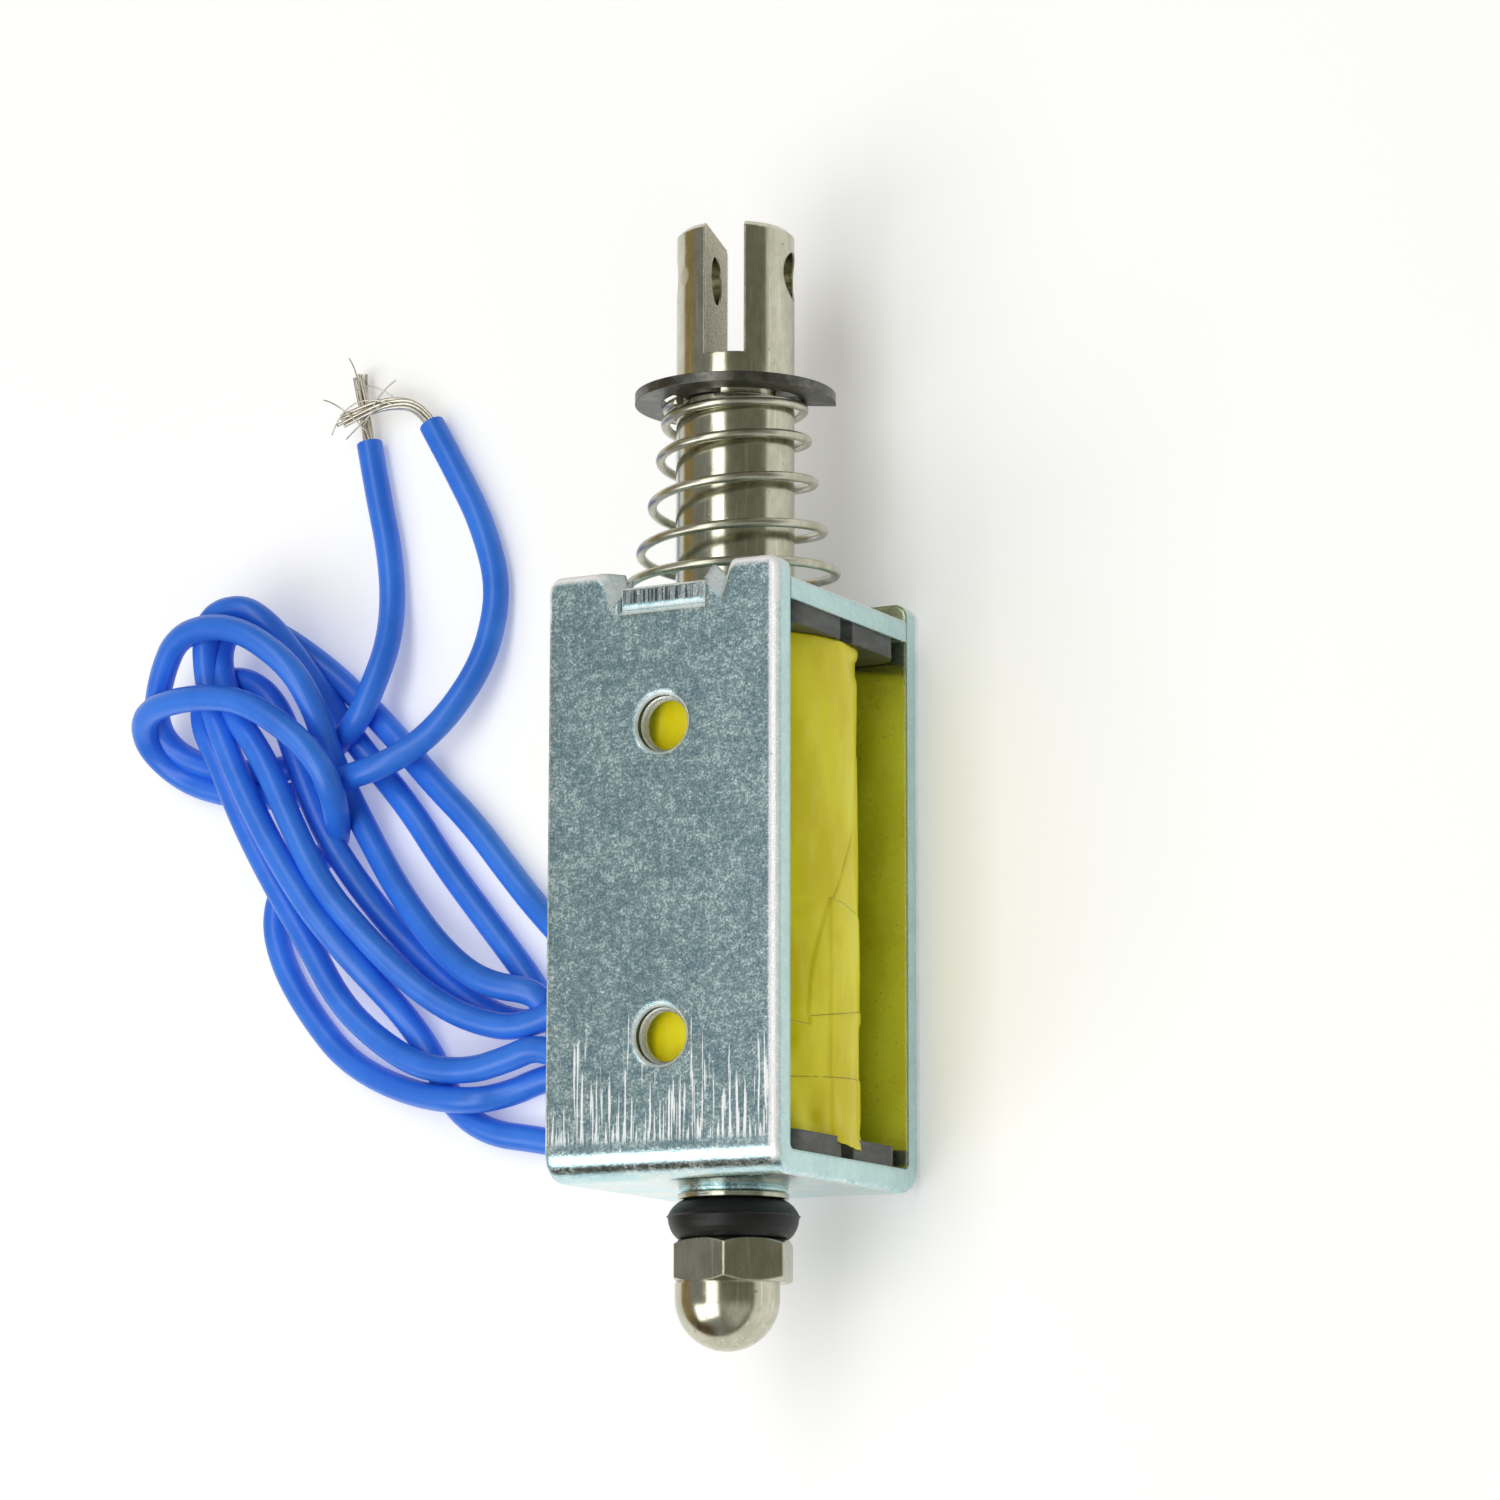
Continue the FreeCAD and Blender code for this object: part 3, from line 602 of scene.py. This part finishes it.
lead_2_route = [
    (-11.4, -5.6, -13.3), (-14.4, -5.1, -14.3), (-15.4, -2.9, -14.3), (-18.3, 0.6, -14.3),
    (-21.2, 4.1, -14.3), (-23.6, 7.5, -14.3), (-26.7, 10.9, -14.2), (-28.7, 13.9, -13.5),
    (-29.9, 16.1, -12.2), (-30.9, 17.7, -11.3), (-32.4, 18.7, -10.9), (-34.4, 18.3, -10.9),
    (-34.9, 16.6, -11.1), (-34.5, 13.8, -11.2), (-33.4, 11.0, -11.2), (-31.6, 7.5, -11.2),
    (-29.5, 4.1, -11.3), (-27.4, 1.1, -11.6), (-25.2, -1.6, -12.7), (-23.4, -3.9, -14.0),
    (-21.7, -6.3, -14.3), (-20.7, -8.6, -14.3), (-18.5, -10.3, -14.3), (-15.2, -10.8, -14.3),
    (-11.0, -11.7, -14.3), (-7.6, -11.0, -14.3), (-7.7, -6.8, -14.3), (-11.2, -7.0, -14.3),
    (-14.9, -7.6, -14.2), (-16.9, -8.4, -13.9), (-18.9, -8.8, -12.9), (-23.2, -8.0, -13.9),
    (-27.1, -6.2, -14.3), (-29.5, -3.6, -14.3), (-31.4, -0.8, -14.3), (-32.2, 1.9, -14.3),
    (-31.3, 4.2, -14.3), (-29.2, 4.9, -14.3), (-27.5, 5.9, -13.6), (-26.2, 7.7, -11.0),
    (-26.7, 9.7, -10.0), (-28.8, 11.7, -9.6), (-31.6, 13.3, -9.5), (-35.2, 13.7, -9.9),
    (-38.7, 13.4, -11.0), (-39.9, 12.0, -12.8), (-38.5, 10.2, -14.2), (-35.8, 9.1, -14.3),
    (-32.2, 8.6, -14.3), (-29.5, 8.6, -13.8), (-26.3, 8.9, -12.1), (-24.1, 9.3, -12.1),
    (-22.2, 10.4, -12.8), (-20.1, 12.2, -13.0), (-18.7, 14.9, -13.8), (-18.3, 17.6, lead_rest),
    (-18.3, 19.5, lead_rest), (-18.8, 21.3, lead_rest), (-19.6, 23.3, lead_rest),
    (-20.6, 25.1, lead_rest), (-21.5, 26.7, lead_rest), (-22.5, 28.4, lead_rest),
]
bare_routes = {
    "lead_1": [(-26.9, 29.5, lead_rest), (-27.1, 31.8, -14.5)],
    "lead_2": [(-23.2, 29.5, -14.2), (-24.8, 29.8, -13.9), (-26.5, 29.5, -13.7),
               (-28.1, 29.1, -13.8)],
}


def add_spline(curve, points):
    """One smooth open spline with these places, in millimetres, as its control points."""
    spline = curve.splines.new("NURBS")
    spline.points.add(len(points) - 1)
    for control, point in zip(spline.points, points):
        control.co = (*(Vector(point) * MM), 1.0)
    spline.order_u = 3
    spline.use_endpoint_u = True


def new_curve(name, diameter, resolution=6):
    curve = bpy.data.curves.new(name, "CURVE")
    curve.dimensions = "3D"
    curve.bevel_depth = diameter / 2 * MM
    curve.bevel_resolution = resolution
    curve.use_fill_caps = True
    return curve


def spline_places(points):
    """Places along the smooth spline through these control points, in millimetres."""
    curve = bpy.data.curves.new("route", "CURVE")
    curve.dimensions = "3D"
    add_spline(curve, points)
    holder = bpy.data.objects.new("route", curve)
    mesh = bpy.data.meshes.new_from_object(holder)
    places = [v.co / MM for v in mesh.vertices]
    bpy.data.objects.remove(holder)
    bpy.data.meshes.remove(mesh)
    bpy.data.curves.remove(curve)
    return places


def across_of(forward):
    """Two directions across a line that runs forward."""
    side = forward.cross(Vector((0, 0, 1))).normalized()
    return side, side.cross(forward).normalized()


def bare_strands(name, points):
    """Tinned strands: seven laid round one more and twisted, which fray towards the end."""
    outer_strands = 7
    outer_reach = 0.19
    flatness = 1.25
    twist = 2.2
    fray_reach = 0.3
    places = spline_places(points)
    curve = new_curve(name, 2 * strand_radius, 2)
    count = len(places)
    for strand in range(outer_strands + 1):
        turn = 2 * math.pi * strand / outer_strands
        reach = 0.0 if strand == outer_strands else outer_reach
        stop = count - (0 if strand % 3 else 1) - strand % 2
        fray = Vector((random.uniform(-1, 1), random.uniform(-1, 1), random.uniform(0, 1)))
        line = []
        for number in range(0, stop, 2):
            along = number / (count - 1)
            following = places[min(number + 1, count - 1)]
            side, up = across_of((following - places[max(number - 1, 0)]).normalized())
            angle = turn + twist * along
            away = side * math.cos(angle) * reach * flatness + up * math.sin(angle) * reach
            line.append(places[number] + away + fray * fray_reach * along ** 3)
        if len(line) > 2:
            add_spline(curve, line)
    return curve


def loose_strands(name, strays):
    """Single fine strands that have sprung out of the bundle."""
    curve = new_curve(name, stray_diameter, 2)
    for places in strays:
        add_spline(curve, places)
    return curve


def make_lead(name, route, strays):
    out = Vector(lead_out[name])
    slope = math.radians(lead_exit_slope)
    second = out + Vector((-math.cos(slope), 0, -math.sin(slope))) * lead_exit_run
    points = [out, second] + [Vector(p) for p in route]
    curve = new_curve(name, lead_diameter)
    curve.resolution_u = 16
    add_spline(curve, points)
    lead = add_piece(name, curve, "blue_insulation", "frame")
    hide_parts(name + "_exit", name + "_tail")
    twisted = bare_strands(name + "_strands", [points[-1]] + bare_routes[name])
    ends = add_piece(name + "_strands", twisted, "tinned_copper", "frame")
    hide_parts(name + "_bare_end")
    loose = loose_strands(name + "_strays", strays)
    extra = [ends, add_piece(name + "_strays", loose, "tinned_copper", "frame")]
    return lead


lead_1_strays = [
    ((-26.6, 28.6, -13.9), (-25.4, 30.2, -13.2), (-24.3, 30.9, -13.5)),
    ((-26.4, 28.4, -13.8), (-27.6, 29.9, -12.9), (-28.9, 30.3, -13.4)),
    ((-26.7, 28.3, -13.9), (-26.1, 31.0, -13.0), (-27.6, 32.6, -13.9)),
]
lead_2_strays = [
    ((-24.2, 29.8, -13.4), (-25.6, 31.0, -12.8), (-26.6, 30.5, -13.2)),
    ((-25.1, 29.7, -13.4), (-26.2, 28.5, -12.9), (-27.5, 28.0, -13.6)),
    ((-24.6, 29.6, -13.6), (-26.9, 30.6, -12.7), (-28.4, 28.3, -13.5)),
]
lead_1 = make_lead("lead_1", lead_1_route, lead_1_strays)
make_lead("lead_2", lead_2_route, lead_2_strays)
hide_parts("lead_hank")


# Return spring

def tube_mesh(name, centres, sections, sides):
    """A closed tube from its centres and, at each, two directions across it with its radius."""
    points = []
    faces = []
    for centre, (side, up) in zip(centres, sections):
        for i in range(sides):
            angle = 2 * math.pi * i / sides
            points.append(centre + side * math.cos(angle) + up * math.sin(angle))
    for ring in range(len(centres) - 1):
        for i in range(sides):
            here = ring * sides
            following = (i + 1) % sides
            faces.append((here + i, here + following, here + sides + following, here + sides + i))
    faces.append(tuple(reversed(range(sides))))
    faces.append(tuple(range((len(centres) - 1) * sides, len(centres) * sides)))
    mesh = bpy.data.meshes.new(name)
    mesh.from_pydata([p * MM for p in points], [], faces)
    mesh.polygons.foreach_set("use_smooth", [len(f) == 4 for f in faces])
    return mesh


def make_spring():
    """The cone of the solid. Each place on the wire travels from its rest to its closed height."""
    per_turn = 48
    sides = 12
    high = ring_low.y / MM - spring_wire / 2 - spring_lift
    low = plate_high.y / MM + spring_wire / 2 + spring_lift
    turns = spring_turns + spring_dead_turns
    flat = spring_dead_turns / turns
    count = round(turns * per_turn)
    centres = []
    travel = []
    for i in range(count + 1):
        s = i / count
        radius = spring_small_radius + (spring_large_radius - spring_small_radius) * s * s
        climb = max(0.0, (s - flat) / (1 - flat))
        stack = max(0.0, 1 - climb / spring_stacked_share) ** spring_stack_power
        climb -= spring_wave * math.sin(2 * math.pi * climb)
        angle = math.radians(spring_phase) + 2 * math.pi * (s * turns - spring_dead_turns)
        height = high - (high - low) * climb
        closed = low + (high - stroke - low) * stack
        x, z = radius * math.cos(angle), radius * math.sin(angle)
        centres.append(Vector((x, height, axis_z + z)))
        travel.append((height - closed) / stroke)
    sections = []
    for i, centre in enumerate(centres):
        forward = (centres[min(i + 1, count)] - centres[max(i - 1, 0)]).normalized()
        side = Vector((centre.x, 0, centre.z - axis_z)).normalized()
        up = forward.cross(side).normalized()
        side = up.cross(forward).normalized()
        sections.append((side * spring_wire / 2, up * spring_wire / 2))
    mesh = tube_mesh("spring_coils", centres, sections, sides)
    spring = add_piece("spring_coils", mesh, "spring_wire", None)
    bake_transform(spring, "frame", "spring_seat", start=(0, low * MM, 0), end=(0, high * MM, 0))
    weights = np.repeat(np.array(travel, np.float32), sides)
    mesh.attributes["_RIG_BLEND"].data.foreach_set("value", weights)
    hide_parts("return_spring")


make_spring()


# Tape on the winding

def smooth(value, low, high):
    share = np.clip((value - low) / (high - low), 0, 1)
    return share * share * (3 - 2 * share)


def bump_at(angle, height, at_angle, at_height, wide, tall):
    """1 at one place on the tape, and fading over this many degrees and millimetres."""
    return np.exp(-((angle - at_angle) / wide) ** 2 - ((height - at_height) / tall) ** 2)


# Dents and swellings: height out of the tape, place as an angle and a level, and its reach in
# degrees and millimetres
tape_bumps = [
    (0.10, -30, 12.2, 16, 0.35), (-0.30, -31, 11.55, 15, 0.45), (-0.10, -4, 11.9, 2.5, 0.5),
    (0.05, 32, -0.6, 8, 0.25), (-0.05, 30, -1.0, 8, 0.2), (0.05, 26, -1.6, 6, 0.25),
    (0.06, 31, -7.7, 3, 0.5), (0.05, -5.5, -8.6, 2.0, 0.6), (-0.05, -8.5, -8.6, 2.0, 0.7),
    (0.05, -10.5, -10.2, 2.0, 0.7), (-0.16, 24, -11.4, 5, 0.5), (0.24, -8, -12.7, 14, 0.7),
    (-0.20, -30, -12.0, 8, 0.4),
]


def tape_surface(angle, height):
    """The tape's radius at an angle from +X towards +Z, in degrees, and a level on the frame."""
    film = 0.06
    around = np.radians(angle) * tape_radius
    turned = np.abs(angle)
    radius = np.full_like(angle, tape_radius - 0.10)

    # Laps of the tape, each a film thick
    drop = np.clip(-0.5 - height, 0, 6)
    lower_lap = 1.2 + 0.53 * drop - 0.045 * drop ** 2
    lap = np.where(height > -0.55, lap_edge(height), lower_lap)
    layer = smooth(lap - around, 0.0, 0.08) * smooth(turned, 100, 90)
    radius += film * layer * smooth(height, -6.5, -6.3)
    crease = smooth(crease_level(around) - height, 0.0, 0.07) * smooth(1.3 - around, 0, 0.1)
    radius += 0.05 * crease * smooth(turned, 90, 60)
    seam = smooth(seam_level(around) - height, 0.0, 0.06)
    radius += film * seam * smooth(2.7 - around, 0, 0.1)
    hidden_seam = smooth(hidden_seam_level(around) - height, 0.0, 0.06)
    radius += film * hidden_seam * smooth(around - 2.6, 0, 0.1)
    radius += film * smooth(low_seam_level(around) - height, 0.0, 0.06)

    # Gentle waves, dents and swellings, and the pleats at the lower edge
    radius += 0.02 * np.sin(around * 1.3 + height * 0.4)
    radius += 0.015 * np.sin(around * 2.9 - height * 0.9)
    for out, at_angle, at_height, wide, tall in tape_bumps:
        radius += out * bump_at(angle, height, at_angle, at_height, wide, tall)
    pleat = np.maximum(0.0, np.sin(around * 2.1 + 0.6)) * np.exp(-(turned / 60) ** 4)
    radius += pleat * 0.14 * smooth(height, -11.2, -12.6)
    return radius


def make_tape():
    """The taped winding's skin, with its laps, creases, pinch and ragged lower edge."""
    columns = 360
    rows = 260
    angles = np.linspace(-180, 180, columns, endpoint=False)
    low = tape_low.y / MM
    high = tape_high.y / MM
    winding_radius = (winding_high.z - winding_low.z) / 2 / MM
    open_side = np.exp(-((angles + 2) / 34) ** 4)
    ragged = 0.03 * np.sin(angles * 0.35) + 0.02 * np.sin(angles * 0.9 + 1.0)
    hang = np.interp(angles, (-40, -26, -14, -5, 4, 15, 26, 36),
                     (0, 0.1, 0.5, 0.57, 0.39, 0.17, -0.02, -0.15))
    bottoms = low - open_side * ragged - hang
    points = []
    for row in range(rows):
        share = row / (rows - 1)
        heights = bottoms + (high - bottoms) * share
        radii = np.maximum(tape_surface(angles, heights), winding_radius + 0.03)
        x = radii * np.cos(np.radians(angles))
        z = axis_z + radii * np.sin(np.radians(angles))
        points += list(zip(x, heights, z))
    inner = tape_radius - 0.5
    for level in (low + 0.05, high - 0.05):
        for angle in np.radians(angles):
            points.append((inner * math.cos(angle), level, axis_z + inner * math.sin(angle)))
    faces = []

    def band(first, second):
        for i in range(columns):
            j = (i + 1) % columns
            faces.append((first + i, second + i, second + j, first + j))

    for row in range(rows - 1):
        band(row * columns, (row + 1) * columns)
    band(rows * columns, 0)
    band((rows - 1) * columns, (rows + 1) * columns)
    mesh = bpy.data.meshes.new("tape_skin")
    mesh.from_pydata([Vector(p) * MM for p in points], [], faces)
    mesh.polygons.foreach_set("use_smooth", [True] * len(faces))
    tape = add_piece("tape_skin", mesh, "yellow_tape_wound", "frame")
    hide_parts("coil_tape")


make_tape()


# Threads in the two mounting holes

def thread_ridge(name, y):
    """A thread's crest, standing in from the wall of the hole at this level."""
    per_turn = 48
    foot = thread_pitch * 0.27
    crest = thread_pitch * 0.06
    turns = (thread_front - thread_back - thread_pitch) / thread_pitch
    count = round(turns * per_turn)
    points = []
    faces = []
    for i in range(count + 1):
        angle = 2 * math.pi * i / per_turn
        z = thread_front - thread_pitch / 2 - thread_pitch * i / per_turn
        tip = hole_radius - thread_depth * min(1.0, i / 8, (count - i) / 8)
        profile = [(hole_radius, foot), (tip, crest), (tip, -crest), (hole_radius, -foot)]
        for r, dz in profile:
            points.append(Vector((r * math.cos(angle), y + r * math.sin(angle), z + dz)) * MM)
    for i in range(count):
        for j in range(3):
            here = i * 4 + j
            faces.append((here, here + 1, here + 5, here + 4))
    mesh = bpy.data.meshes.new(name)
    mesh.from_pydata(points, [], faces)
    return mesh


for number, y in enumerate((-hole_spacing / 2, hole_spacing / 2), 1):
    name = f"mounting_thread_{number}"
    thread = add_piece(name, thread_ridge(name, y), "zinc_thread_highlight", "frame")


# Finishes of the solids that are shown as they are

node_finishes = {
    "c_frame": "zinc_scratched_with_edge_highlight", "top_plate": "zinc_sheared", "fixed_core": "zinc_steel",
    "bobbin": "black_nylon", "coil_winding": "copper_wire", "splice_pad": "yellow_tape",
    "guide_tube": "brass_tube", "plunger": "nickel_steel", "push_rod": "nickel_steel",
    "thin_washer": "nickel_steel", "domed_nut": "nickel_steel",
    "retaining_ring": "black_spring_steel", "rubber_bumper": "black_rubber",
    "blank_label": "white_label", "lead_splices": "tinned_copper",
}
for node, finish in node_finishes.items():
    dress(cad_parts[node], finish)


# Floor, lights and surroundings

def make_floor():
    reach = 3.0
    mesh = bpy.data.meshes.new("floor")
    z = floor_z * MM
    corners = [(-reach, -reach, z), (reach, -reach, z), (reach, reach, z), (-reach, reach, z)]
    mesh.from_pydata(corners, [], [(0, 1, 2, 3)])
    floor = bpy.data.objects.new("floor", mesh)
    bpy.context.scene.collection.objects.link(floor)
    mesh.materials.append(pale_floor("pale_floor"))


light_distance = 0.5


def soft_light(name, direction, size, radiance):
    """A white panel half a metre away, of this width and length in metres, long along the frame."""
    data = bpy.data.lights.new(name, "AREA")
    data.shape = "RECTANGLE"
    data.size, data.size_y = size
    data.energy = radiance * math.pi * size[0] * size[1]
    light = bpy.data.objects.new(name, data)
    light.location = Vector(direction).normalized() * light_distance
    bpy.context.scene.collection.objects.link(light)
    look_at(light, mm(0, 0, axis_z), Vector((0, 1, 0.01)))


def make_room():
    """A dim grey room, darker on the open side, with a brown wall low on the leads' side."""
    world = bpy.data.worlds.new("studio")
    world.use_nodes = True
    tree = world.node_tree
    way = add_node(tree, "ShaderNodeTexCoord", {}, "Generated")
    x, y, z = (add_node(tree, "ShaderNodeSeparateXYZ", {0: way}, i) for i in range(3))
    open_side = x.ramp(-0.15, 0.25)
    low_wall = z.ramp(0.50, 0.42)
    colour = mix_colours(tree, open_side, (0.27, 0.275, 0.27), (0.20, 0.20, 0.16))
    wall = mix_colours(tree, y.ramp(-0.3, -0.7), (0.38, 0.28, 0.13), (0.11, 0.07, 0.04))
    colour = mix_colours(tree, low_wall * x.ramp(-0.1, -0.4), colour, wall)
    glow = x.ramp(0.1, 0.6) * y.ramp(0.0, -0.5) * z.ramp(0.0, 0.3)
    colour = mix_colours(tree, glow, colour, (0.62, 0.62, 0.60))
    tree.links.new(colour.socket, tree.nodes["Background"].inputs["Color"])
    bpy.context.scene.world = world


def make_lights():
    soft_light("panel_above", (-0.08, 0.0, 1.0), (0.21, 0.90), 2.6)
    soft_light("panel_front_left", (-0.47, -0.50, 0.74), (0.32, 0.26), 2.6)
    bpy.context.scene.view_settings.view_transform = "Standard"


make_floor()
make_room()
make_lights()
